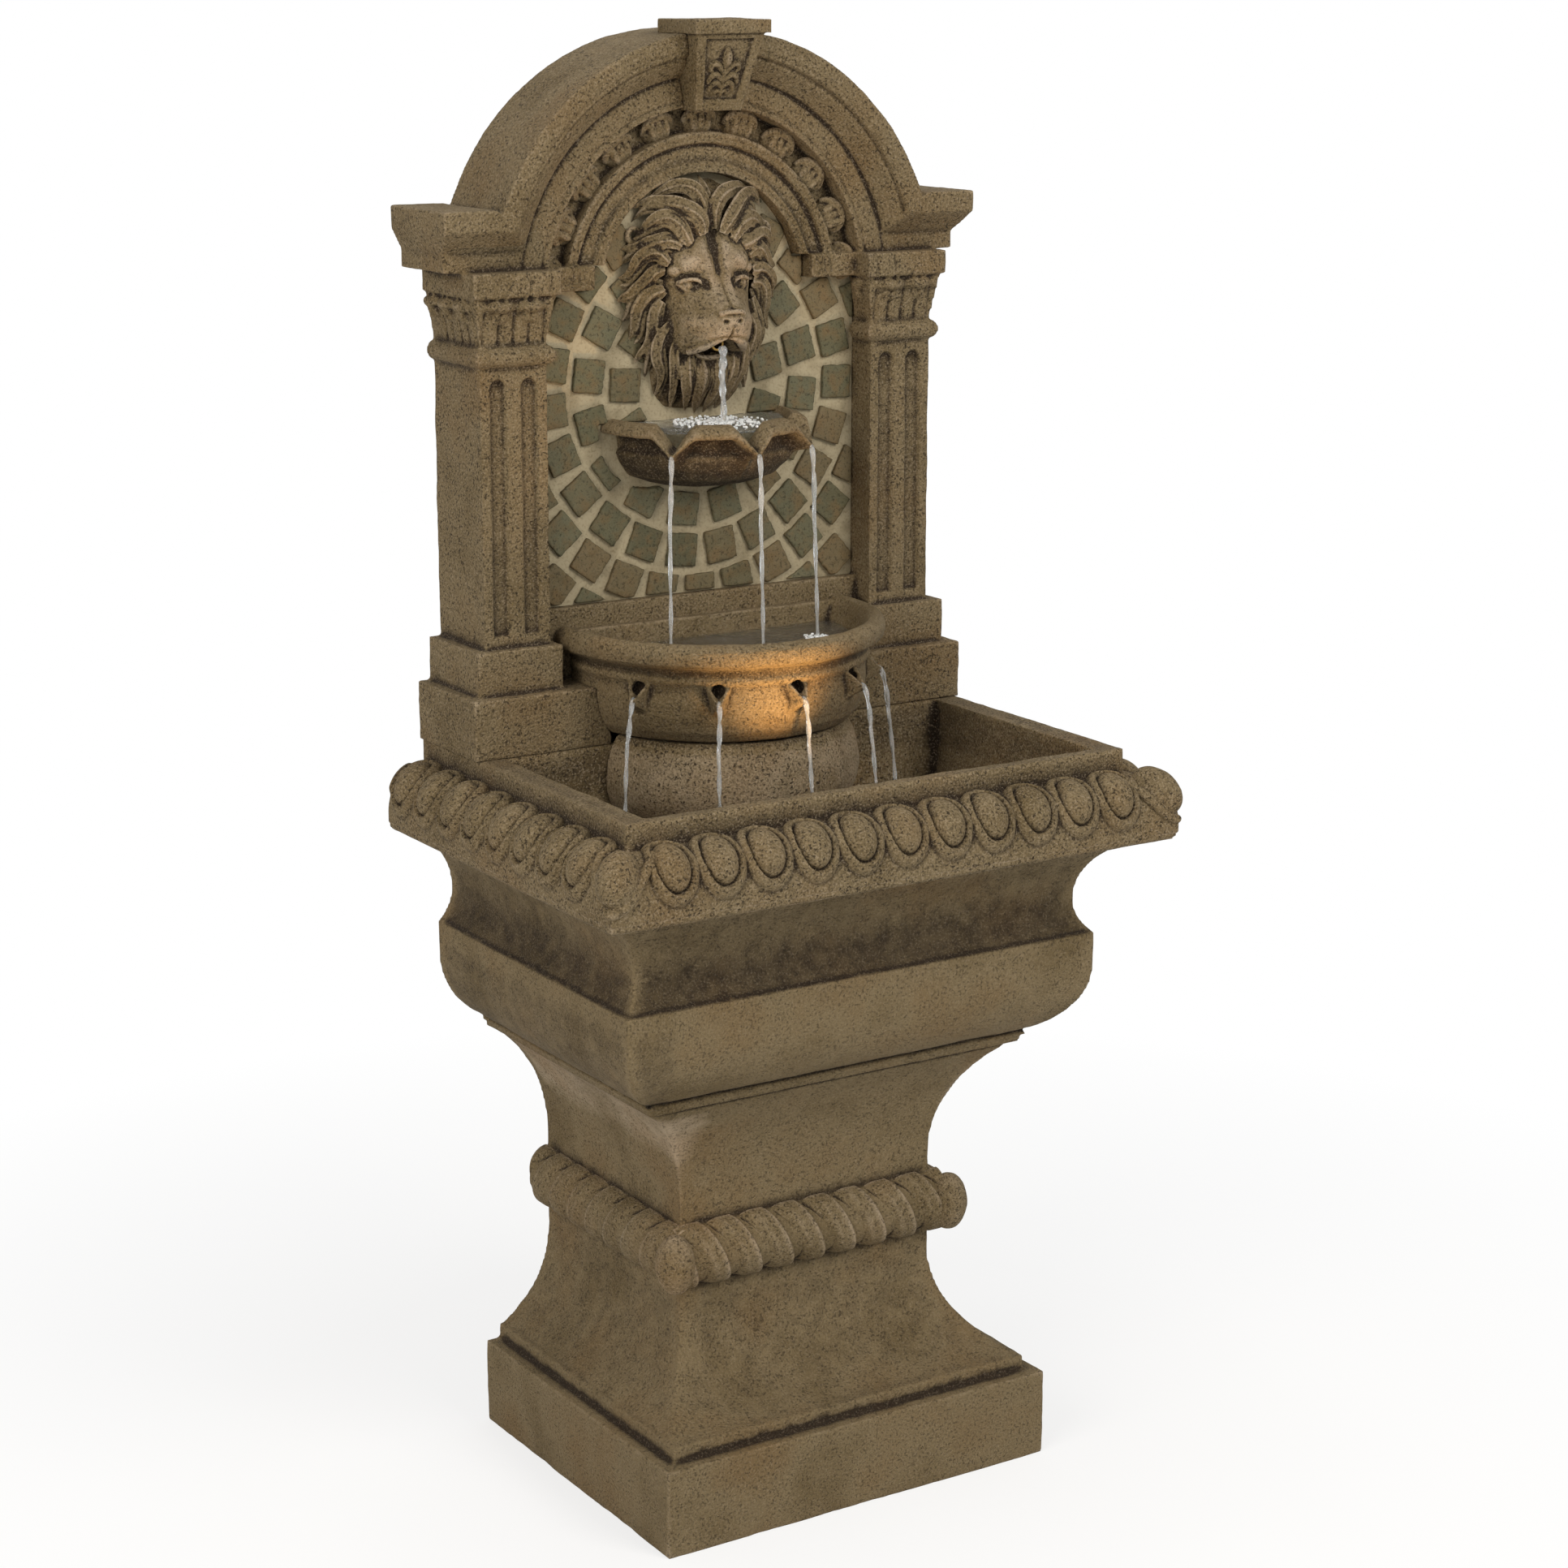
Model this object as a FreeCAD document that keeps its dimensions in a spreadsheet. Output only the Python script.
import FreeCAD, Part
import math
import os
import Sketcher

# A floor fountain in cast stone: a pedestal, a basin with an egg-and-dart border and a back wall
# with a lion mask, a shell bowl and a half bowl. It stands with its flat back against a wall.
# X runs to the right, Y to the back, Z up; the origin is under the middle of the whole object.

# Driving sizes in millimetres and degrees. A "half" is half a width about the middle plane, a
# "depth" is measured forward from the flat back, a "z" is a height above the floor.
SIZES = {
    "plinth_half": 201.5,
    "plinth_forward": 136,
    "plinth_z": 81,
    "step_back": 14,
    "step_rise": 14,
    "neck_half": 133,
    "neck_forward": 112,
    "basin_forward": 114,
    "neck_straight": 20,
    "collar_low_z": 207,
    "collar_high_z": 262,
    "collar_proud": 20,
    "flare_half": 191,
    "flare_z": 391,
    "bulge_forward": 104,
    "fillet_proud": 4,
    "fillet_rise": 7,
    "shell_wall": 14,
    "bulge_low_half": 202,
    "bulge_half": 241,
    "bulge_belly_z": 470,
    "bulge_top_z": 498,
    "waist_half": 227,
    "waist_z": 528,
    "lip_z": 590,
    "border_half": 287,
    "border_belly_z": 606,
    "rim_half": 252,
    "rim_low_z": 648,
    "rim_z": 670,
    "rim_side": 24,
    "rim_front": 15,
    "well_floor_z": 455,
    "well_step_z": 575,
    "well_back": 110,
    "chamber_half": 105,
    "chamber_back": 10,
    "partition": 12,
    "slot_width": 30,
    "slot_height": 14,
    "slab_half": 232,
    "slab_depth": 50,
    "low_block_half": 255,
    "low_block_depth": 110.5,
    "low_block_z": 723,
    "low_block_inner": 112,
    "high_block_half": 244,
    "high_block_depth": 97.5,
    "high_block_z": 762,
    "high_block_inner": 161,
    "column_half": 232,
    "column_inner": 168,
    "column_depth": 87,
    "column_z": 1006,
    "flute_width": 15,
    "flute_deep": 4,
    "flute_pitch": 30,
    "flute_end": 10,
    "necking_rise": 18,
    "capital_proud": 7,
    "impost_z": 1066,
    "impost_half": 242,
    "impost_inner": 158,
    "impost_depth": 99,
    "impost_rise": 21,
    "return_inner": 112,
    "return_depth": 75,
    "cornice_low_half": 261,
    "cornice_half": 270,
    "cornice_low_depth": 80,
    "cornice_depth": 102,
    "fascia_rise": 16,
    "cyma_rise": 19,
    "cornice_z": 1140,
    "arch_z": 1058,
    "arch_radius": 228,
    "arch_fillet": 17,
    "arch_cyma": 23,
    "arch_fascia": 25,
    "band_depth": 58,
    "ring_radius": 140,
    "ring_inner": 105,
    "ring_depth": 72,
    "ring_roll": 9,
    "ring_groove": 4,
    "mitre_angle": 43,
    "dado_z": 787,
    "dado_depth": 64,
    "grout_thick": 6,
    "tile_side": 30,
    "tile_thick": 4,
    "tile_ring_z": 975,
    "tile_ring_first": 74,
    "tile_ring_pitch": 37.4,
    "tile_inset": 2,
    "key_half": 34,
    "key_low_half": 23,
    "key_depth": 120,
    "key_low_depth": 97,
    "key_low_z": 1217,
    "key_cap": 12,
    "key_cap_proud": 4,
    "key_z": 1295,
    "lion_top_z": 1160,
    "lion_half": 78,
    "eye_z": 1071,
    "nose_z": 1039,
    "beard_z": 953,
    "muzzle_reach": 66,
    "mouth_z": 1015,
    "shell_radius": 102,
    "shell_z": 947,
    "shell_deep": 59,
    "bowl_wall": 9,
    "pour_radius": 8,
    "pour_angle": 46.7,
    "bowl_axis": 88,
    "bowl_radius": 153,
    "bowl_z": 772,
    "bowl_lip": 26,
    "bowl_neck": 138,
    "bowl_foot": 122,
    "bowl_seat_z": 678,
    "spout_radius": 6,
    "spout_z": 727,
    "spout_angle": 30,
    "stand_belly": 128,
    "stand_foot": 108,
    "stand_belly_z": 640,
    "stand_foot_z": 600,
    "stand_wall": 10,
    "fit_gap": 0.3,
    "chase_depth": 40,
    "chase_high_z": 1046,
    "cover_margin": 12,
    "cover_recess": 3.2,
    "cover_thick": 5.5,
    "cover_low_z": 684,
    "screw_radius": 2,
    "screw_head": 4,
    "screw_length": 14,
    "screw_room": 1,
    "head_sink": 1,
    "grommet_bore": 3.5,
    "grommet_radius": 7,
    "grommet_flange": 10,
    "grommet_x": 72,
    "grommet_z": 712,
    "pump_axis": 36,
    "pump_long": 72,
    "pump_wide": 40,
    "pump_high": 42,
    "pump_cell_radius": 17,
    "pump_cell_long": 20,
    "rotor_radius": 8.5,
    "rotor_long": 26,
    "rotor_room": 0.5,
    "rotor_play": 1,
    "shaft_radius": 1.5,
    "shaft_room": 0.05,
    "vane_reach": 14.5,
    "vane_thick": 1.8,
    "strainer_long": 24,
    "strainer_wall": 2.5,
    "strainer_slot": 2.6,
    "strainer_slot_high": 12.5,
    "dial_radius": 9,
    "dial_thick": 5,
    "dial_hub": 3,
    "dial_rib": 2,
    "cup_radius": 7,
    "cup_high": 8,
    "outlet_shift": 14,
    "outlet_radius": 6.2,
    "outlet_long": 26,
    "outlet_bore": 4.5,
    "hose_wall": 1.8,
    "hose_stop": 9.3,
    "hose_room": 0.15,
    "clamp_wide": 7,
    "clamp_thick": 1.2,
    "gland_radius": 6,
    "gland_long": 12,
    "mouth_reach": 94,
    "dowel_radius": 5,
    "dowel_long": 30,
    "dowel_x": 190,
    "dowel_depth": 60,
    "plug_x": 80,
    "plug_rise": 16,
    "plug_radius": 8,
    "plug_head": 12,
    "plug_head_thick": 4,
    "plug_sink": 5,
    "plug_room": 1,
    "lamp_x": 120,
    "lamp_inset": 23,
    "lamp_rise": 27,
    "lamp_tilt": 38,
    "lamp_radius": 13,
    "lamp_long": 32,
    "lamp_behind": 10,
    "lens_thick": 3,
    "lens_sink": 1,
    "lamp_bevel": 3.25,
    "pin_deep": 3.9,
    "lamp_gland_long": 7.2,
    "lamp_gland_radius": 3.6,
    "bezel_wide": 2,
    "ear_thick": 3,
    "ear_gap": 1,
    "foot_thick": 3,
    "knob_radius": 5,
    "knob_thick": 4,
    "pivot_radius": 2,
}

doc = FreeCAD.newDocument("floor_fountain")
sheet = doc.addObject("Spreadsheet::Sheet", "Sizes")
for row, (alias, number) in enumerate(SIZES.items(), start=1):
    sheet.set(f"A{row}", alias)
    sheet.set(f"B{row}", str(number))
    sheet.setAlias(f"B{row}", alias)
doc.recompute()


class Size:
    """A length together with the sheet expression that gives it."""

    def __init__(self, value, text):
        self.value = value
        self.text = text

    def join(self, sign, other, value):
        return Size(value, f"({self.text} {sign} {as_size(other).text})")

    def __add__(self, other):
        return self.join("+", other, self.value + as_size(other).value)

    def __sub__(self, other):
        return self.join("-", other, self.value - as_size(other).value)

    def __mul__(self, other):
        return self.join("*", other, self.value * as_size(other).value)

    def __truediv__(self, other):
        return self.join("/", other, self.value / as_size(other).value)

    def __radd__(self, other):
        return as_size(other) + self

    def __rsub__(self, other):
        return as_size(other) - self

    def __rmul__(self, other):
        return as_size(other) * self

    def __neg__(self):
        return as_size(0) - self

    def root(self):
        return Size(math.sqrt(self.value), f"sqrt({self.text})")


def as_size(item):
    return item if isinstance(item, Size) else Size(float(item), repr(item))


class Sheet:
    """Gives each alias of the sheet as a Size."""

    def __getattr__(self, alias):
        return Size(float(sheet.get(alias)), f"Sizes.{alias}")


d = Sheet()
back = (d.border_half + d.basin_forward) / 2
nodes = []
Z_AXIS = FreeCAD.Vector(0, 0, 1)
TURN_TO_FRONT = FreeCAD.Rotation(FreeCAD.Vector(1, 0, 0), 90)
TURN_TO_RIGHT = FreeCAD.Rotation(FreeCAD.Vector(0, 1, 0), 90)


def bind(item, sizes):
    for name, size in sizes.items():
        item.setExpression(name, as_size(size).text)
    return item


def place(item, x, depth, z, turn=FreeCAD.Rotation()):
    """Stands an item at a width, a depth forward of the back and a height."""
    item.Placement = FreeCAD.Placement(FreeCAD.Vector(), turn)
    names = ("Placement.Base.x", "Placement.Base.y", "Placement.Base.z")
    return bind(item, dict(zip(names, (x, back - depth, z))))


def node(item, label):
    item.Label = label
    nodes.append(item)
    return item


def block(x, depths, z):
    """A box between two widths, two depths and two heights."""
    item = doc.addObject("Part::Box", "block")
    bind(item, {"Length": x[1] - x[0], "Width": depths[1] - depths[0], "Height": z[1] - z[0]})
    return place(item, x[0], depths[1], z[0])


def wide_block(half, depths, z):
    return block((-half, half), depths, z)


def post(radius, x, depth, z):
    """An upright cylinder between two heights."""
    item = bind(doc.addObject("Part::Cylinder", "post"), {"Radius": radius, "Height": z[1] - z[0]})
    return place(item, x, depth, z[0])


def peg(radius, x, depths, z):
    """A cylinder that points forward, between two depths."""
    item = bind(doc.addObject("Part::Cylinder", "peg"), {"Radius": radius, "Height": depths[1] - depths[0]})
    return place(item, x, depths[0], z, TURN_TO_FRONT)


def bar(radius, x, depth, z):
    """A cylinder that points to the right, between two widths."""
    item = bind(doc.addObject("Part::Cylinder", "bar"), {"Radius": radius, "Height": x[1] - x[0]})
    return place(item, x[0], depth, z, TURN_TO_RIGHT)


def fuse(*items):
    item = doc.addObject("Part::MultiFuse", "fused")
    item.Shapes = list(items)
    return item


def common(first, second):
    item = doc.addObject("Part::Common", "common")
    item.Base = first
    item.Tool = second
    return item


def cut(base, *tools):
    item = doc.addObject("Part::Cut", "cut")
    item.Base = base
    item.Tool = tools[0] if len(tools) == 1 else fuse(*tools)
    return item


def mirror(source):
    item = doc.addObject("Part::Mirroring", "mirrored")
    item.Source = source
    item.Normal = FreeCAD.Vector(1, 0, 0)
    return item


def both_sides(*items):
    right = fuse(*items) if len(items) > 1 else items[0]
    return fuse(right, mirror(right))


def drawn_arc(start, end, radius, hollow):
    """The arc from start to end; hollow puts its centre on the right of that way."""
    chord = end - start
    along = chord.Length
    rise = math.sqrt(max(radius ** 2 - (along / 2) ** 2, 0))
    left = FreeCAD.Vector(-chord.y, chord.x, 0).normalize()
    centre = (start + end) / 2 + left * (-rise if hollow else rise)
    first, last = (end, start) if hollow else (start, end)
    angles = [math.atan2(point.y - centre.y, point.x - centre.x) for point in (first, last)]
    return Part.ArcOfCircle(Part.Circle(centre, Z_AXIS, radius), angles[0], angles[1])


def sketch(body, plane, corners):
    """A closed outline. A corner is (across, up), and (across, up, radius, hollow) starts an arc."""
    drawing = body.newObject("Sketcher::SketchObject", "outline")
    origin = [item for item in body.Origin.OriginFeatures if item.Role == plane][0]
    drawing.AttachmentSupport = (origin, [""])
    drawing.MapMode = "FlatFace"
    points = [FreeCAD.Vector(as_size(c[0]).value, as_size(c[1]).value, 0) for c in corners]
    ends = []
    for index, corner in enumerate(corners):
        start = points[index]
        end = points[(index + 1) % len(points)]
        if len(corner) == 2:
            drawing.addGeometry(Part.LineSegment(start, end), False)
            ends.append((1, 2))
        else:
            drawing.addGeometry(drawn_arc(start, end, as_size(corner[2]).value, corner[3]), False)
            ends.append((2, 1) if corner[3] else (1, 2))
    for index, corner in enumerate(corners):
        before = index - 1 if index else len(corners) - 1
        first = ends[index][0]
        drawing.addConstraint(Sketcher.Constraint("Coincident", before, ends[before][1], index, first))
        for kind, size, value in (("DistanceX", corner[0], points[index].x),
                                  ("DistanceY", corner[1], points[index].y)):
            number = drawing.addConstraint(Sketcher.Constraint(kind, index, first, value))
            drawing.setExpression(f"Constraints[{number}]", as_size(size).text)
        if len(corner) > 2:
            radius = as_size(corner[2])
            number = drawing.addConstraint(Sketcher.Constraint("Radius", index, radius.value))
            drawing.setExpression(f"Constraints[{number}]", radius.text)
    return drawing


def pad(plane, corners, length, x=0, depth=0, z=0):
    """A drawn outline given a length; XZ_Plane pads forward and YZ_Plane to the right."""
    body = doc.addObject("PartDesign::Body", "padded")
    feature = body.newObject("PartDesign::Pad", "pad")
    feature.Profile = sketch(body, plane, corners)
    bind(feature, {"Length": length})
    body.Tip = feature
    return place(body, x, depth, z)


def turned(plane, axis, corners, x=0, depth=0, z=0):
    """A drawn outline turned once round its own upright or level axis."""
    body = doc.addObject("PartDesign::Body", "turned")
    drawing = sketch(body, plane, corners)
    feature = body.newObject("PartDesign::Revolution", "turn")
    feature.Profile = drawing
    feature.ReferenceAxis = (drawing, [axis])
    feature.Angle = 360
    body.Tip = feature
    return place(body, x, depth, z)


def recompute_and_check():
    """Stops the build at any object that failed or came out empty or unsound."""
    doc.recompute()
    failed = [item.Name for item in doc.Objects if "Invalid" in item.State or "Error" in item.State]
    failed += [item.Label for item in nodes if item.Shape.isNull() or not item.Shape.isValid()]
    if failed:
        raise RuntimeError("not sound: " + ", ".join(failed))


def sorted_ends(one, other):
    return (one, other) if one.value < other.value else (other, one)


def tangent_radius(across, up):
    """The radius of an arc that is upright where it is narrowest or widest."""
    return (across * across + up * up) / (2 * across)


def roll_radius(high, proud):
    return (high * high / 4 + proud * proud) / (2 * proud)


def moulding_arc(kind, low, high):
    """What a corner needs for the moulding between two points: a cove, a swell or a given roll."""
    if kind is None:
        return ()
    if isinstance(kind, Size):
        return (kind, False)
    across = high[0] - low[0] if high[0].value > low[0].value else low[0] - high[0]
    return (tangent_radius(across, high[1] - low[1]), kind == "cove")


def moulded(points, kinds):
    """The corners of a moulding from its lowest point to its highest."""
    arcs = [moulding_arc(kind, low, high) for kind, low, high in zip(kinds, points, points[1:])]
    return [point + arc for point, arc in zip(points, arcs + [()])]


def flipped(corners):
    """The same moulding on the other side, from its highest point to its lowest."""
    arcs = [()] + [corner[2:] for corner in corners[:-1]]
    return [(-corner[0], corner[1]) + arc for corner, arc in reversed(list(zip(corners, arcs)))]


def mitred(levels):
    """A block with a moulding round its front and sides, mitred at the corners.

    A level is (half width, what the depth adds to it, height, moulding up to the next level)."""
    kinds = [level[3] for level in levels[:-1]]
    sides = moulded([(level[0], level[2]) for level in levels], kinds)
    fronts = moulded([(level[0] + level[1], level[2]) for level in levels], kinds)
    widest = max([level[0] for level in levels], key=lambda size: size.value)
    deepest = max([corner[0] for corner in fronts], key=lambda size: size.value)
    low, high = levels[0][2], levels[-1][2]
    face = pad("XZ_Plane", sides + flipped(sides), deepest)
    profile = flipped(fronts) + [(0, low), (0, high)]
    return common(face, pad("YZ_Plane", profile, widest * 2, x=-widest))


def wedge(low, high, z):
    """A tapered block: (left, right, rear depth, front depth) at its foot and at its head."""
    item = doc.addObject("Part::Wedge", "wedge")
    names = ("Xmin", "Xmax", "Zmin", "Zmax", "X2min", "X2max", "Z2min", "Z2max", "Ymin", "Ymax")
    bind(item, dict(zip(names, tuple(low) + tuple(high) + (0, z[1] - z[0]))))
    return place(item, 0, 0, z[0], TURN_TO_FRONT)


def group(label, items):
    """Like pieces that share one name."""
    item = doc.addObject("Part::Compound", label)
    item.Links = items
    return node(item, label)


# Levels that several pieces share
seam_z = d.flare_z + 2 * d.fillet_rise
impost_top = d.impost_z + d.impost_rise
grout_face = d.slab_depth + d.grout_thick
tile_face = grout_face + d.tile_thick
rim_front = d.rim_half + d.basin_forward
cover_seat = d.cover_recess + d.cover_thick + d.fit_gap
cover_high_z = d.chase_high_z + d.cover_margin
pump_low = d.well_floor_z + d.cup_high
pump_z = pump_low + d.pump_high / 2
outlet_depth = d.pump_axis - d.outlet_shift
hose_inner = d.outlet_radius + d.hose_room
hose_outer = hose_inner + d.hose_wall
lamp_depth = rim_front - d.rim_front - d.lamp_inset
lamp_z = d.well_step_z + d.lamp_rise

# Pegs that line up the castings
dowel_room = d.fit_gap / 2


def basin_dowels(room):
    spots = [(x, depth) for x in (-d.neck_half / 2, d.neck_half / 2)
             for depth in (d.dowel_depth, d.neck_half)]
    ends = (seam_z - d.dowel_long / 3, seam_z + d.dowel_long / 3)
    return [post(d.dowel_radius + room, x, depth, ends) for x, depth in spots]


def wall_dowels(room):
    ends = (d.rim_z - d.dowel_long / 2, d.rim_z + d.dowel_long / 2)
    return [post(d.dowel_radius + room, x, d.dowel_depth, ends) for x in (-d.dowel_x, d.dowel_x)]


group("basin_dowels", basin_dowels(as_size(0)))
group("wall_dowels", wall_dowels(as_size(0)))

# Pedestal: a plinth, a cove up to a roll collar and a cove out to two fillets, hollow from below
step_half = d.plinth_half - d.step_back
cove_half = step_half - d.fillet_proud
cove_low_z = d.plinth_z + d.step_rise
fillet_half = d.flare_half + d.fillet_proud
top_half = fillet_half + d.fillet_proud
collar = roll_radius(d.collar_high_z - d.collar_low_z, d.collar_proud)
pedestal_block = mitred([
    (d.plinth_half, d.plinth_forward, as_size(0), None),
    (d.plinth_half, d.plinth_forward, d.plinth_z, None),
    (step_half, d.plinth_forward, d.plinth_z, None),
    (step_half, d.plinth_forward, cove_low_z, None),
    (cove_half, d.plinth_forward, cove_low_z, "cove"),
    (d.neck_half, d.neck_forward, d.collar_low_z - d.neck_straight, None),
    (d.neck_half, d.neck_forward, d.collar_low_z, collar),
    (d.neck_half, d.neck_forward, d.collar_high_z, None),
    (d.neck_half, d.neck_forward, d.collar_high_z + d.neck_straight, "cove"),
    (d.flare_half, d.bulge_forward, d.flare_z, None),
    (fillet_half, d.bulge_forward, d.flare_z, None),
    (fillet_half, d.bulge_forward, d.flare_z + d.fillet_rise, None),
    (top_half, d.bulge_forward, d.flare_z + d.fillet_rise, None),
    (top_half, d.bulge_forward, seam_z, None),
])


def hollow(half, forward, z):
    return wide_block(half - d.shell_wall, (d.shell_wall, half + forward - d.shell_wall), z)


node(cut(pedestal_block,
         hollow(d.neck_half, d.neck_forward, (as_size(0), seam_z - d.shell_wall)),
         hollow(d.plinth_half, d.plinth_forward, (as_size(0), d.plinth_z - d.shell_wall)),
         *basin_dowels(dowel_room)), "pedestal")

# Basin: a bulging body, a waist, an egg border and a rim, with a well and a pump chamber
lip_half = d.border_half - d.fillet_proud
basin_block = mitred([
    (d.bulge_low_half, d.bulge_forward, seam_z, "swell"),
    (d.bulge_half, d.bulge_forward, d.bulge_belly_z, None),
    (d.bulge_half, d.bulge_forward, d.bulge_top_z, "cove"),
    (d.waist_half, d.bulge_forward, d.waist_z, "cove"),
    (lip_half, d.basin_forward, d.lip_z, None),
    (d.border_half, d.basin_forward, d.lip_z + d.fillet_proud, None),
    (d.border_half, d.basin_forward, d.border_belly_z, "swell"),
    (d.rim_half, d.basin_forward, d.rim_low_z, None),
    (d.rim_half, d.basin_forward, d.rim_z, None),
])
well_front = d.waist_half + d.bulge_forward - d.shell_wall
upper_well = wide_block(d.rim_half - d.rim_side, (d.well_back, rim_front - d.rim_front),
                        (d.well_step_z, d.rim_z))
lower_well = wide_block(d.waist_half - d.shell_wall, (d.well_back, well_front),
                        (d.well_floor_z, d.well_step_z))
chamber = wide_block(d.chamber_half, (d.chamber_back, d.well_back - d.partition), (d.well_floor_z, d.rim_z))
slots = [block((x - d.slot_width / 2, x + d.slot_width / 2), (d.well_back - d.partition, d.well_back),
               (d.well_floor_z, d.well_floor_z + d.slot_height))
         for x in (-2 * d.slot_width, as_size(0), 2 * d.slot_width)]
plug_z = d.well_floor_z + d.plug_rise
plug_hole = peg(d.plug_radius, d.plug_x, (as_size(0), d.chamber_back), plug_z)
plug_recess = peg(d.plug_head + d.plug_room, d.plug_x, (as_size(0), d.plug_sink), plug_z)
node(cut(basin_block, upper_well, lower_well, chamber, *slots, plug_hole, plug_recess,
         *basin_dowels(dowel_room), *wall_dowels(dowel_room)), "basin")

# Rubber drain plug in the rear of the pump chamber
plug_face = d.plug_sink - d.fit_gap
node(fuse(peg(d.plug_head, d.plug_x, (plug_face - d.plug_head_thick, plug_face), plug_z),
          peg(d.plug_radius - d.fit_gap, d.plug_x, (plug_face, d.chamber_back), plug_z)), "drain_plug")

# Stand and half bowl, turned and then cut off flat at the back
stand_corners = [(as_size(0), d.well_floor_z)] + moulded(
    [(d.stand_foot, d.well_floor_z), (d.stand_foot, d.stand_foot_z), (d.stand_belly, d.stand_belly_z),
     (d.bowl_foot - d.fillet_proud, d.bowl_seat_z)],
    [None, "swell", "swell"]) + [(as_size(0), d.bowl_seat_z)]
stand_room = [(as_size(0), d.well_floor_z)] + moulded(
    [(d.stand_foot - d.stand_wall, d.well_floor_z), (d.stand_foot - d.stand_wall, d.stand_foot_z),
     (d.stand_belly - d.stand_wall, d.stand_belly_z),
     (d.bowl_foot - d.fillet_proud - d.stand_wall, d.bowl_seat_z - d.stand_wall)],
    [None, "swell", "swell"]) + [(as_size(0), d.bowl_seat_z - d.stand_wall)]
stand = turned("XZ_Plane", "V_Axis", stand_corners, depth=d.bowl_axis)
stand_hollow = turned("XZ_Plane", "V_Axis", stand_room, depth=d.bowl_axis)
stand_gates = [block((x - d.slot_width / 2, x + d.slot_width / 2), (d.well_back, well_front),
                     (d.well_floor_z, d.well_floor_z + d.slot_height))
               for x in (-2 * d.slot_width, 2 * d.slot_width)]
behind_stand = wide_block(d.rim_half, (-d.rim_half, d.well_back + d.fit_gap), (d.well_floor_z, d.bowl_z))
node(cut(stand, stand_hollow, behind_stand, *stand_gates), "bowl_stand")

lip_low_z = d.bowl_z - d.bowl_lip
body_high_z = lip_low_z - d.fillet_rise
lip_radius = d.bowl_radius - d.fillet_rise


def bowl_body(room):
    """The outside of the half bowl, with room all round it."""
    return [(as_size(0), d.bowl_seat_z)] + moulded(
        [(d.bowl_foot + room, d.bowl_seat_z), (d.bowl_neck + room, body_high_z),
         (lip_radius + room, body_high_z), (lip_radius + room, lip_low_z), (lip_radius + room, d.bowl_z)],
        ["swell", None, None, roll_radius(d.bowl_lip, d.fillet_rise)]) + [(as_size(0), d.bowl_z)]


bowl_room = [(as_size(0), d.bowl_seat_z + d.bowl_wall)] + moulded(
    [(d.bowl_foot - d.bowl_wall, d.bowl_seat_z + d.bowl_wall), (d.bowl_neck - d.bowl_wall, body_high_z),
     (d.bowl_neck - d.bowl_wall, d.bowl_z)], ["swell", None]) + [(as_size(0), d.bowl_z)]
bowl_back = d.dado_depth + d.fit_gap
full_bowl = turned("XZ_Plane", "V_Axis", bowl_body(as_size(0)), depth=d.bowl_axis)
bowl_heights = (d.rim_z, d.bowl_z + d.bowl_lip)
behind_bowl = wide_block(d.rim_half, (-d.rim_half, bowl_back), bowl_heights)
behind_room = wide_block(d.rim_half, (-d.rim_half, bowl_back + d.bowl_wall), bowl_heights)
bowl_hollow = cut(turned("XZ_Plane", "V_Axis", bowl_room, depth=d.bowl_axis), behind_room)


def spoke(radius, reach, depth, z, angle):
    """A round cutter from an upright axis outwards; 90 degrees points to the front."""
    item = bind(doc.addObject("Part::Cylinder", "spoke"), {"Radius": radius, "Height": reach})
    way = FreeCAD.Vector(math.cos(math.radians(angle)), -math.sin(math.radians(angle)), 0)
    return place(item, 0, depth, z, FreeCAD.Rotation(Z_AXIS, way))


SPOUTS = 5
spouts = [spoke(d.spout_radius, d.bowl_radius, d.bowl_axis, d.spout_z, count * d.spout_angle.value)
          for count in range(1, SPOUTS + 1)]
node(cut(full_bowl, behind_bowl, bowl_hollow, *spouts), "half_bowl")

# Shell bowl under the mask, with three places where it pours
shell_low_z = d.shell_z - d.shell_deep
shell_foot = d.shell_radius / 3
shell_side_z = d.shell_z - d.bowl_wall
shell_corners = [(as_size(0), shell_low_z)] + moulded(
    [(shell_foot, shell_low_z), (d.shell_radius, shell_side_z), (d.shell_radius, d.shell_z)],
    ["swell", None]) + [(as_size(0), d.shell_z)]
shell_room = [(as_size(0), shell_low_z + d.bowl_wall)] + moulded(
    [(shell_foot, shell_low_z + d.bowl_wall), (d.shell_radius - d.bowl_wall, shell_side_z),
     (d.shell_radius - d.bowl_wall, d.shell_z)], ["swell", None]) + [(as_size(0), d.shell_z)]
shell_back = grout_face + d.fit_gap
shell_heights = (shell_low_z - d.bowl_wall, d.shell_z + d.bowl_wall)
behind_shell = wide_block(d.rim_half, (-d.rim_half, shell_back), shell_heights)
behind_shell_room = wide_block(d.rim_half, (-d.rim_half, shell_back + d.bowl_wall), shell_heights)
shell_hollow = cut(turned("XZ_Plane", "V_Axis", shell_room, depth=grout_face), behind_shell_room)
pour_z = d.shell_z + d.pour_radius / 4
pours = [spoke(d.pour_radius, 2 * d.shell_radius, grout_face, pour_z, angle)
         for angle in (d.pour_angle.value, 90, 180 - d.pour_angle.value)]
shell = cut(turned("XZ_Plane", "V_Axis", shell_corners, depth=grout_face), behind_shell)
for tool in [shell_hollow] + pours:
    shell = cut(shell, tool)
shell_bowl = node(shell, "shell_bowl")

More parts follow.
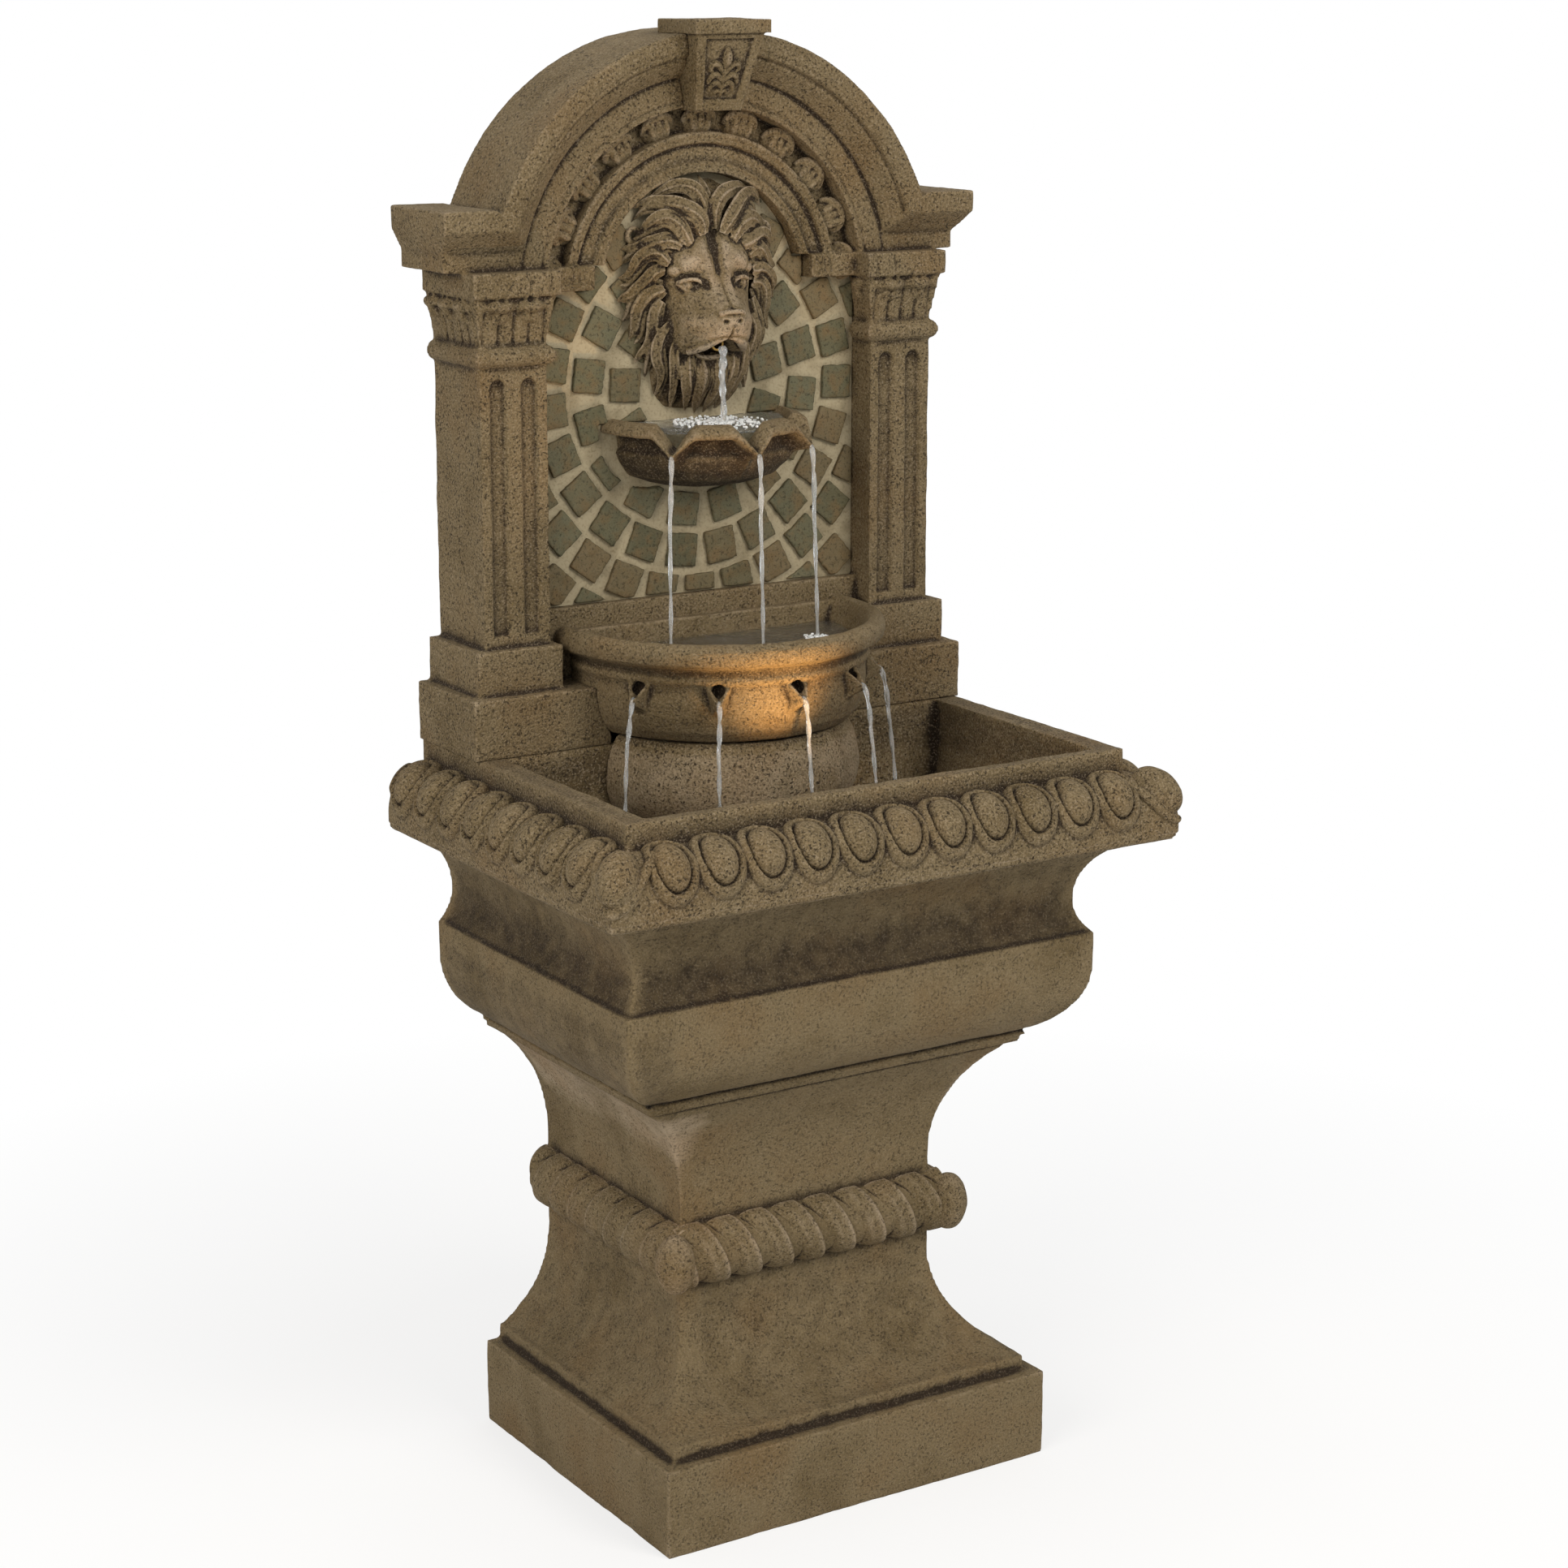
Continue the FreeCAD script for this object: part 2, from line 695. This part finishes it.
# Lion mask: mane, face, muzzle and beard as swelling forms, with the water pipe through the mouth
def dome(z, radius, reach, straight=as_size(0)):
    """A round form that swells forward from the panel, after a straight part if it has one."""
    arc = tangent_radius(reach - straight, radius)
    corners = [(0, 0), (0, radius), (-straight, radius, arc, False), (-reach, 0)]
    if straight.value == 0:
        corners.pop(1)
    return turned("YZ_Plane", "H_Axis", corners, depth=grout_face + d.fit_gap, z=z)


pipe_room = d.outlet_radius + d.fit_gap
mask_bore = peg(pipe_room, 0, (d.slab_depth, d.key_depth + d.muzzle_reach), d.mouth_z)
# Each form of the mask: its middle, its radius as a share of the mane's half width and its reach as a
# share of the muzzle's
MASK_FORMS = {
    "mane": (d.lion_top_z - d.lion_half, 1, 0.5),
    "cheeks": (d.mouth_z + 0.2 * d.lion_half, 0.8, 0.45),
    "beard": (d.beard_z + 0.5 * d.lion_half, 0.5, 0.36),
    "brow": (d.eye_z, 0.6, 0.82),
}
STRAIGHT_MUZZLE = 0.6
MUZZLE_SHARE = 0.36
mask_domes = [dome(z, share * d.lion_half, reach * d.muzzle_reach) for z, share, reach in MASK_FORMS.values()]
muzzle = dome(d.nose_z, MUZZLE_SHARE * d.lion_half, d.muzzle_reach, STRAIGHT_MUZZLE * d.muzzle_reach)
lion_mask = node(cut(fuse(*mask_domes, muzzle), mask_bore), "lion_mask")

# Keystone with a cap, let into the arch
key_back = d.band_depth
keystone = node(fuse(
    wedge((-d.key_low_half, d.key_low_half, key_back, d.key_low_depth),
          (-d.key_half, d.key_half, key_back, d.key_depth), (d.key_low_z, d.key_z - d.key_cap)),
    wide_block(d.key_half + d.key_cap_proud, (key_back, d.key_depth + d.key_cap_proud),
               (d.key_z - d.key_cap, d.key_z))), "keystone")

# Back wall: right-hand blocks, column, capital, impost and cornice
column_mid = (d.column_half + d.column_inner) / 2
flute_top_z = d.column_z - d.flute_end - d.flute_width / 2
flute_depths = (d.column_depth - d.flute_deep, d.column_depth)
flutes = []
for x in (column_mid - d.flute_pitch / 2, column_mid + d.flute_pitch / 2):
    sides = (x - d.flute_width / 2, x + d.flute_width / 2)
    flutes.append(block(sides, flute_depths, (d.high_block_z + d.flute_end, flute_top_z)))
    flutes.append(peg(d.flute_width / 2, x, flute_depths, flute_top_z))
column = cut(block((d.column_inner, d.column_half), (as_size(0), d.column_depth),
                   (d.high_block_z, d.impost_z)), *flutes)
necking_top = d.column_z + d.necking_rise
necking_arc = roll_radius(d.necking_rise, d.capital_proud)
capital_depth = d.column_depth + d.capital_proud
necking_sides = [(d.column_inner, d.column_z), (d.column_half, d.column_z, necking_arc, False),
                 (d.column_half, necking_top), (d.column_inner, necking_top, necking_arc, False)]
necking_front = [(-d.column_depth, necking_top, necking_arc, False), (-d.column_depth, d.column_z),
                 (0, d.column_z), (0, necking_top)]
necking = common(pad("XZ_Plane", necking_sides, capital_depth),
                 pad("YZ_Plane", necking_front, d.column_half + d.capital_proud))
capital = wedge((d.column_inner, d.column_half, 0, d.column_depth),
                (d.column_inner - d.capital_proud, d.column_half + d.capital_proud, 0, capital_depth),
                (necking_top, d.impost_z))
beside_tiles = block((d.impost_inner, d.column_inner), (as_size(0), tile_face + d.fit_gap),
                     (d.column_z, d.impost_z))
fascia_z = impost_top + d.fascia_rise
cyma_z = fascia_z + d.cyma_rise
cornice_front = [(-d.cornice_depth, d.cornice_z), (-d.cornice_depth, cyma_z),
                 (-d.cornice_low_depth, fascia_z), (-d.cornice_low_depth, impost_top),
                 (0, impost_top), (0, d.cornice_z)]
cornice_side = [(0, impost_top), (d.cornice_low_half, impost_top), (d.cornice_low_half, fascia_z),
                (d.cornice_half, cyma_z), (d.cornice_half, d.cornice_z), (0, d.cornice_z)]
cornice = common(pad("YZ_Plane", cornice_front, d.cornice_half),
                 pad("XZ_Plane", cornice_side, d.cornice_depth))

# The arch mouldings turn into the level cornice along a slanting mitre
mitre_sine = math.sin(math.radians(d.mitre_angle.value))
mitre_cosine = math.cos(math.radians(d.mitre_angle.value))
fascia_inner = d.arch_radius - d.arch_fillet - d.arch_cyma - d.arch_fascia


def mitre_block(over):
    """The space under the mitre line of the right-hand side, or over it."""
    item = doc.addObject("Part::Box", "mitre")
    side = d.cornice_half
    bind(item, {"Length": 2 * side, "Width": 2 * d.cornice_depth, "Height": side})
    back_by = side / 2
    x = fascia_inner - back_by * mitre_cosine
    z = impost_top - back_by * mitre_sine
    if not over:
        x = x + side * mitre_sine
        z = z - side * mitre_cosine
    turn = FreeCAD.Rotation(FreeCAD.Vector(0, 1, 0), -d.mitre_angle.value)
    return place(item, x, 1.5 * d.cornice_depth, z, turn)


right_side = both_sides(
    block((d.low_block_inner, d.low_block_half), (as_size(0), d.low_block_depth), (d.rim_z, d.low_block_z)),
    block((d.high_block_inner, d.high_block_half), (as_size(0), d.high_block_depth),
          (d.low_block_z, d.high_block_z)),
    column, cut(fuse(necking, capital), beside_tiles),
    block((d.impost_inner, d.impost_half), (as_size(0), d.impost_depth), (d.impost_z, impost_top)),
    block((d.return_inner, d.impost_inner), (as_size(0), d.return_depth), (d.impost_z, impost_top)),
    cut(cornice, mitre_block(over=True)))

ring_groove_depth = d.ring_depth - d.ring_groove
cyma_inner = fascia_inner + d.arch_fascia
fillet_inner = cyma_inner + d.arch_cyma
arch_profile = [
    (0, d.ring_inner), (0, d.arch_radius),
    (-d.cornice_depth, d.arch_radius), (-d.cornice_depth, fillet_inner),
    (-d.cornice_low_depth, cyma_inner), (-d.cornice_low_depth, fascia_inner),
    (-d.band_depth, fascia_inner), (-d.band_depth, d.ring_radius),
    (-d.ring_depth, d.ring_radius), (-d.ring_depth, d.ring_radius - d.ring_roll),
    (-ring_groove_depth, d.ring_radius - d.ring_roll), (-ring_groove_depth, d.ring_inner + d.ring_roll),
    (-d.ring_depth, d.ring_inner + d.ring_roll), (-d.ring_depth, d.ring_inner),
]
arch = cut(turned("YZ_Plane", "H_Axis", arch_profile, z=d.arch_z),
           wide_block(d.cornice_half, (-d.cornice_depth, 2 * d.cornice_depth), (d.rim_z, impost_top)),
           both_sides(mitre_block(over=False)))
slab = wide_block(d.slab_half, (as_size(0), d.slab_depth), (d.rim_z, impost_top))
tympanum = peg(d.arch_radius, 0, (as_size(0), d.slab_depth), d.arch_z)
dado = wide_block(d.column_inner, (as_size(0), d.dado_depth), (d.rim_z, d.dado_z))
wall_casting = fuse(slab, tympanum, dado, right_side, arch)

# What is cut from the wall: the bowl's seat, the keystone's notch, the rear chase and its cover's seat
bowl_seat = cut(turned("XZ_Plane", "V_Axis", bowl_body(d.fit_gap), depth=d.bowl_axis), behind_bowl)
seat_below = post(d.bowl_foot + d.fit_gap, 0, d.bowl_axis, (d.rim_z, d.bowl_seat_z))
low_seat = cut(seat_below, behind_bowl)
chase = wide_block(d.chamber_half, (as_size(0), d.chase_depth),
                   (d.cover_low_z + d.cover_margin, d.chase_high_z))
low_chase = wide_block(d.chamber_half, (d.chamber_back, d.chase_depth),
                       (d.rim_z, d.cover_low_z + 2 * d.cover_margin))
cover_room = wide_block(d.chamber_half + d.cover_margin, (as_size(0), cover_seat),
                        (d.cover_low_z, cover_high_z))
pipe_hole = peg(pipe_room, 0, (d.chase_depth, d.slab_depth), d.mouth_z)
screw_x = d.chamber_half + d.cover_margin / 2
screw_spots = [(x, z) for x in (-screw_x, screw_x)
               for z in (d.cover_low_z + d.cover_margin / 2, cover_high_z - d.cover_margin / 2)]
screw_end = d.cover_recess + d.screw_length
screw_holes = [peg(d.screw_radius + d.fit_gap, x, (as_size(0), screw_end + d.screw_room), z)
               for x, z in screw_spots]
node(cut(wall_casting, bowl_seat, low_seat, keystone, chase, low_chase, cover_room, pipe_hole, *screw_holes,
         *wall_dowels(dowel_room)), "back_wall")

# Rear cover, its screws and the grommet where the lead leaves
cover_half = d.chamber_half + d.cover_margin - d.fit_gap
cover_depths = (d.cover_recess, d.cover_recess + d.cover_thick)
cover_plate = wide_block(cover_half, cover_depths, (d.cover_low_z + d.fit_gap, cover_high_z - d.fit_gap))
grommet_hole = peg(d.grommet_radius, d.grommet_x, cover_depths, d.grommet_z)
cover_holes = [peg(d.screw_radius + d.fit_gap, x, cover_depths, z) for x, z in screw_spots]
node(cut(cover_plate, grommet_hole, *cover_holes), "rear_cover")
head_thick = d.cover_recess - d.head_sink
group("rear_cover_screws", [
    fuse(peg(d.screw_radius, x, (d.cover_recess, screw_end), z),
         peg(d.screw_head, x, (d.cover_recess - head_thick, d.cover_recess), z)) for x, z in screw_spots])
grommet_body = fuse(
    peg(d.grommet_radius - d.fit_gap / 2, d.grommet_x, cover_depths, d.grommet_z),
    peg(d.grommet_flange, d.grommet_x, (d.cover_recess - head_thick, d.cover_recess), d.grommet_z))
grommet_bore = peg(d.grommet_bore, d.grommet_x, (as_size(0), cover_seat), d.grommet_z)
node(cut(grommet_body, grommet_bore), "cord_grommet")

# Grout bed in the shape of the panel, and rings of stone tiles on it
def panel(room, depth, thick):
    """The field between the columns and under the arch, with room all round it."""
    side = d.column_inner - room
    inner = d.return_inner - room
    low = d.dado_z + room
    shoulder = d.impost_z - room
    spring = impost_top - room
    radius = d.ring_inner - room
    spring_half = (radius * radius - (spring - d.arch_z) * (spring - d.arch_z)).root()
    right = [(side, low), (side, shoulder), (inner, shoulder), (inner, spring),
             (spring_half, spring, radius, False)]
    left = [(-spring_half, spring), (-inner, spring), (-inner, shoulder), (-side, shoulder), (-side, low)]
    return pad("XZ_Plane", right + left, thick, depth=depth)


grout_bore = peg(pipe_room, 0, (d.slab_depth, grout_face), d.mouth_z)
node(cut(panel(d.fit_gap, d.slab_depth, d.grout_thick), grout_bore), "grout_bed")
tile_field = panel(d.tile_inset, grout_face, d.tile_thick)
recompute_and_check()

# Tiles in each ring and the angle of one of them, in degrees
RINGS = {"first": (11, 176.6), "second": (16, -142.5), "third": (23, -143.3), "fourth": (29, -139.0),
         "corner": (35, -131.0)}


def tile(radius, angle):
    """One square tile on its ring, trimmed by the panel's edge, the mask and the shell bowl."""
    side = d.tile_side.value
    stone = Part.makeBox(side, d.tile_thick.value, side, FreeCAD.Vector(-side / 2, 0, -side / 2))
    turn = FreeCAD.Rotation(FreeCAD.Vector(0, 1, 0), 90 - angle)
    way = math.radians(angle)
    stone.Placement = FreeCAD.Placement(
        FreeCAD.Vector(radius * math.cos(way), (back - tile_face).value,
                       d.tile_ring_z.value + radius * math.sin(way)), turn) * stone.Placement
    return stone.common(tile_field.Shape).cut(lion_mask.Shape).cut(shell_bowl.Shape)


# A trimmed tile is left out if it is smaller than this share of a whole one
LEAST_SHARE = 1 / 6
least_tile = LEAST_SHARE * d.tile_thick.value * d.tile_side.value ** 2
for number, (name, (count, first)) in enumerate(RINGS.items()):
    radius = d.tile_ring_first.value + number * d.tile_ring_pitch.value
    stones = [tile(radius, first + index * 360 / count) for index in range(count)]
    kept = [solid for stone in stones for solid in stone.Solids if solid.Volume > least_tile]
    ring = doc.addObject("Part::Feature", f"mosaic_{name}_ring")
    ring.Shape = Part.makeCompound(kept)
    node(ring, f"mosaic_{name}_ring")

# Pump: housing, strainer, flow dial, rotor on its shaft, suction feet and cable gland
pump_face = -d.pump_cell_long / 2
cell_end = d.pump_cell_long / 2
pump_end = pump_face + d.pump_long
pump_depths = (d.pump_axis - d.pump_wide / 2, d.pump_axis + d.pump_wide / 2)
pump_heights = (pump_low, pump_low + d.pump_high)
rotor_well_end = cell_end + d.rotor_long + 2 * d.rotor_play
shaft_end = rotor_well_end + 2 * d.shaft_radius
pump_top = pump_low + d.pump_high
outlet_top = pump_top + d.outlet_long
node(cut(fuse(block((pump_face, pump_end), pump_depths, pump_heights),
              post(d.outlet_radius, 0, outlet_depth, (pump_top, outlet_top))),
         bar(d.pump_cell_radius, (pump_face, cell_end), d.pump_axis, pump_z),
         bar(d.rotor_radius + d.rotor_room, (cell_end, rotor_well_end), d.pump_axis, pump_z),
         bar(d.shaft_radius, (rotor_well_end, shaft_end), d.pump_axis, pump_z),
         post(d.outlet_bore, 0, outlet_depth, (pump_z, outlet_top))), "pump_housing")
node(bar(d.shaft_radius, (pump_face, shaft_end), d.pump_axis, pump_z), "pump_shaft")
vane_x = (pump_face + 2 * d.rotor_play, cell_end - d.rotor_play)
rotor_x = (cell_end + d.rotor_play, cell_end + d.rotor_play + d.rotor_long)
vanes = [block(vane_x, (d.pump_axis - half, d.pump_axis + half), (pump_z - tall, pump_z + tall))
         for half, tall in ((d.vane_reach, d.vane_thick / 2), (d.vane_thick / 2, d.vane_reach))]
node(cut(fuse(*vanes, bar(d.rotor_radius / 2, (vane_x[0], rotor_x[0]), d.pump_axis, pump_z),
              bar(d.rotor_radius, rotor_x, d.pump_axis, pump_z)),
         bar(d.shaft_radius + d.shaft_room, (pump_face, rotor_x[1]), d.pump_axis, pump_z)), "pump_impeller")
STRAINER_SLOTS = 7
strainer_face = pump_face - d.strainer_long
inner_x = (strainer_face + d.strainer_wall, pump_face)
strainer_slots = [block((strainer_face, pump_face - d.strainer_wall), (depth, depth + d.strainer_slot),
                        (pump_top - d.strainer_slot_high, pump_top))
                  for depth in [pump_depths[0] + d.strainer_wall + count * 2 * d.strainer_slot
                                for count in range(STRAINER_SLOTS)]]
node(cut(block((strainer_face, pump_face), pump_depths, pump_heights),
         block(inner_x, (pump_depths[0] + d.strainer_wall, pump_depths[1] - d.strainer_wall),
               (pump_low + d.strainer_wall, pump_top - d.strainer_wall)),
         bar(d.dial_hub + 2 * d.shaft_room, (strainer_face, inner_x[0]), d.pump_axis, pump_z),
         *strainer_slots), "pump_strainer")
dial_x = (strainer_face - d.fit_gap - d.dial_thick, strainer_face - d.fit_gap)
dial_grip = block((dial_x[0] - d.dial_thick / 2, dial_x[0]),
                  (d.pump_axis - d.dial_rib / 2, d.pump_axis + d.dial_rib / 2),
                  (pump_z - d.dial_radius + d.dial_rib / 2, pump_z + d.dial_radius - d.dial_rib / 2))
node(fuse(bar(d.dial_radius, dial_x, d.pump_axis, pump_z),
          bar(d.dial_hub, (dial_x[1], inner_x[0] + d.dial_rib / 2), d.pump_axis, pump_z),
          dial_grip), "flow_dial")


def cup(x, depth):
    item = doc.addObject("Part::Cone", "cup")
    bind(item, {"Radius1": d.cup_radius, "Radius2": d.cup_radius / 2, "Height": d.cup_high})
    return place(item, x, depth, d.well_floor_z)


group("pump_feet", [cup(x, depth) for x in (pump_face + d.cup_radius, pump_end - d.cup_radius)
                    for depth in (pump_depths[0] + d.cup_radius, pump_depths[1] - d.cup_radius)])
gland_x = (pump_end, pump_end + d.gland_long)
node(cut(bar(d.gland_radius, gland_x, d.pump_axis, pump_z),
         bar(d.grommet_bore, gland_x, d.pump_axis, pump_z)), "pump_gland")

# Riser hose, the elbow that carries the water to the lion's mouth, and two clamps
hose_ends = (pump_top + d.fit_gap, d.mouth_z - d.hose_stop)
node(cut(post(hose_outer, 0, outlet_depth, hose_ends), post(hose_inner, 0, outlet_depth, hose_ends)),
     "riser_hose")
barb_z = (hose_ends[1] - d.outlet_long, d.mouth_z)
elbow_way = (outlet_depth, d.mouth_reach)
bend = bind(doc.addObject("Part::Sphere", "bend"), {"Radius": d.outlet_radius})
node(cut(fuse(post(d.outlet_radius, 0, outlet_depth, barb_z),
              peg(d.outlet_radius, 0, elbow_way, d.mouth_z),
              place(bend, 0, outlet_depth, d.mouth_z)),
         post(d.outlet_bore, 0, outlet_depth, barb_z),
         peg(d.outlet_bore, 0, elbow_way, d.mouth_z)), "mouth_elbow")


def clamp(low):
    ends = (low, low + d.clamp_wide)
    grip = hose_outer + d.hose_room
    return cut(post(grip + d.clamp_thick, 0, outlet_depth, ends), post(grip, 0, outlet_depth, ends))


group("hose_clamps", [clamp(pump_top + d.clamp_wide), clamp(hose_ends[1] - 2 * d.clamp_wide)])

# Underwater lamp on a bracket that stands on the well's step and tilts about its two knobs
lamp_turn = FreeCAD.Rotation(FreeCAD.Vector(1, 0, 0), d.lamp_tilt.value - 90)
lamp_front = d.lamp_long - d.lamp_behind
lens_radius = d.lamp_radius - d.bezel_wide
lens_seat = lamp_front - d.lens_thick - d.lens_sink


def lamp_piece(corners):
    item = turned("XZ_Plane", "V_Axis", corners)
    return place(item, d.lamp_x, lamp_depth, lamp_z, lamp_turn)


lamp_shell = lamp_piece([
    (0, -d.lamp_behind), (d.lamp_radius - d.lamp_bevel, -d.lamp_behind),
    (d.lamp_radius, -d.lamp_behind + d.lamp_bevel), (d.lamp_radius, lamp_front),
    (lens_radius, lamp_front), (lens_radius, lens_seat), (0, lens_seat)])
ear_x = (d.lamp_radius + d.ear_gap, d.lamp_radius + d.ear_gap + d.ear_thick)
pin_in = d.lamp_radius - d.pin_deep
node(cut(lamp_shell, bar(d.pivot_radius + 2 * d.shaft_room, (d.lamp_x - d.lamp_radius, d.lamp_x - pin_in),
                         lamp_depth, lamp_z),
         bar(d.pivot_radius + 2 * d.shaft_room, (d.lamp_x + pin_in, d.lamp_x + d.lamp_radius),
             lamp_depth, lamp_z)), "lamp_housing")
glass_radius = lens_radius - d.shaft_room
glass_front = lens_seat + d.lens_thick
node(lamp_piece([(0, lens_seat), (glass_radius, lens_seat), (glass_radius, glass_front), (0, glass_front)]),
     "lamp_lens")
lamp_tail = d.lamp_behind + d.lamp_gland_long
node(lamp_piece([(0, -lamp_tail), (d.lamp_gland_radius, -lamp_tail), (d.lamp_gland_radius, -d.lamp_behind),
                 (0, -d.lamp_behind)]), "lamp_gland")
foot_depths = (lamp_depth - d.lamp_radius / 3, rim_front - d.rim_front - d.fit_gap)
ear_depths = (lamp_depth - d.knob_radius, lamp_depth + d.knob_radius)
ears = [block((d.lamp_x + low, d.lamp_x + high), ear_depths, (d.well_step_z, lamp_z + d.knob_radius))
        for low, high in (ear_x, (-ear_x[1], -ear_x[0]))]
foot = block((d.lamp_x - ear_x[1], d.lamp_x + ear_x[1]), foot_depths,
             (d.well_step_z, d.well_step_z + d.foot_thick))
pin_hole = bar(d.pivot_radius, (d.lamp_x - ear_x[1], d.lamp_x + ear_x[1]), lamp_depth, lamp_z)
node(cut(fuse(foot, *ears), pin_hole), "lamp_bracket")


def knob(inner, outer, end):
    """A pivot pin from the lamp's side out through the ear, with its round head."""
    pin = bar(d.pivot_radius, sorted_ends(inner, outer), lamp_depth, lamp_z)
    return fuse(pin, bar(d.knob_radius, sorted_ends(outer, end), lamp_depth, lamp_z))


group("lamp_knobs", [knob(d.lamp_x + side * (pin_in + d.fit_gap), d.lamp_x + side * ear_x[1],
                          d.lamp_x + side * (ear_x[1] + d.knob_thick)) for side in (-1, 1)])

# Every object is sound before anything is written
recompute_and_check()
os.makedirs("parts", exist_ok=True)
for item in nodes:
    item.Shape.exportStep(f"parts/{item.Label}.step")
    print(item.Label, len(item.Shape.Solids), round(item.Shape.Volume))
